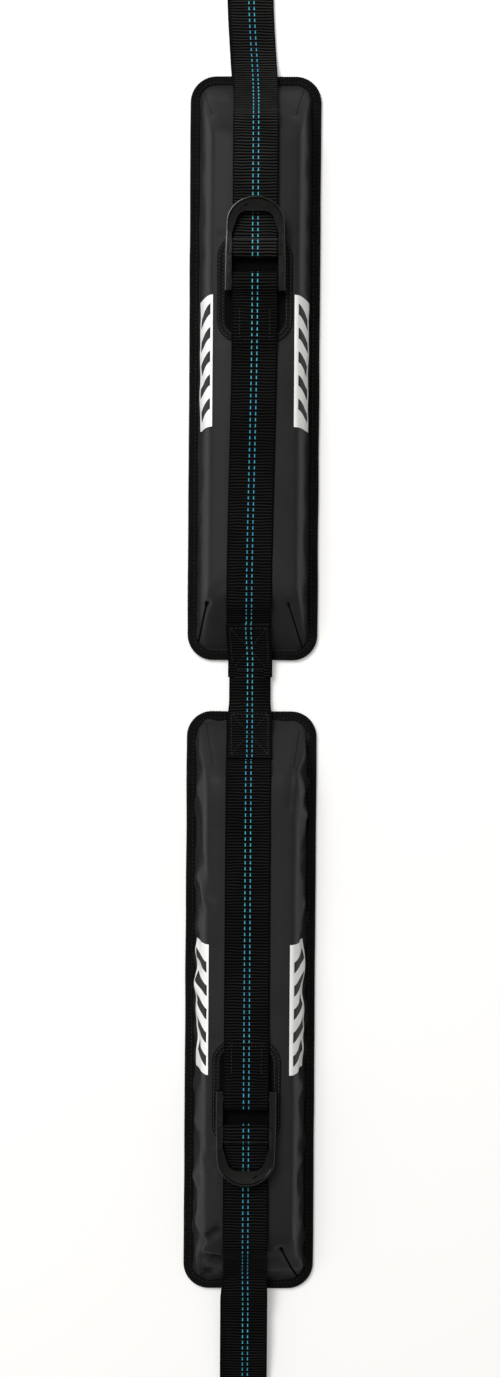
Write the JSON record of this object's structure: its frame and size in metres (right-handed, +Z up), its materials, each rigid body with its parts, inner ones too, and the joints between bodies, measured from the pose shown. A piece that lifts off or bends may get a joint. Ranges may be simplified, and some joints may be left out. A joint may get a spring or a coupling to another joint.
{
  "type": "soft roof rack",
  "caption": "Soft roof rack: foam-filled pads joined by a strap, each with a tilting ladder-lock buckle and a webbing load strap rolled up at its end",
  "frame": {"origin": "on the ground under the middle of the gap between the pads", "axes": "+X towards the rear of the vehicle, +Y along the rack towards its left pad, +Z up"},
  "size_m": [0.112, 1.379, 0.0632],
  "materials": {
    "foam": "closed-cell foam, hidden inside the cover",
    "coated_cloth": "smooth coated cloth, semi-matt dark grey",
    "base_cloth": "plain woven black cloth with a fine grip print",
    "binding_tape": "ribbed black grosgrain tape",
    "webbing": "ribbed black webbing with two dashed blue tracer lines",
    "patch_cloth": "tightly woven black cloth with a stitched edge",
    "print": "thin white printed film",
    "buckle_plastic": "moulded black plastic, satin",
    "tie_tape": "black hook-and-loop tape"
  },
  "bodies": {
    "rack": {"joining_strap": "webbing", "left_foam_core": "foam", "left_cover": "coated_cloth", "left_base_sheet": "base_cloth", "left_edge_binding": "binding_tape", "left_front_panel": "print", "left_rear_panel": "print", "left_buckle_patch": "patch_cloth", "left_pad_strap": "webbing", "left_load_strap": "webbing", "left_strap_tail": "webbing", "left_strap_roll": "webbing", "left_roll_tie": "tie_tape", "right_foam_core": "foam", "right_cover": "coated_cloth", "right_base_sheet": "base_cloth", "right_edge_binding": "binding_tape", "right_front_panel": "print", "right_rear_panel": "print", "right_buckle_patch": "patch_cloth", "right_pad_strap": "webbing", "right_load_strap": "webbing", "right_strap_tail": "webbing", "right_strap_roll": "webbing", "right_roll_tie": "tie_tape"},
    "left_buckle_body": {"left_buckle": "buckle_plastic", "left_strap_wrap": "webbing"},
    "right_buckle_body": {"right_buckle": "buckle_plastic", "right_strap_wrap": "webbing"}
  },
  "joints": [
    {"name": "left_buckle_tilt", "type": "hinge", "parent": "rack", "child": "left_buckle_body", "pos_m": [0, 0.3346, 0.0542], "axis": [1, 0, 0], "range_deg": [0, 30]},
    {"name": "right_buckle_tilt", "type": "hinge", "parent": "rack", "child": "right_buckle_body", "pos_m": [-0.0027, -0.3446, 0.0542], "axis": [-1, 0, 0], "range_deg": [0, 30]}
  ]
}
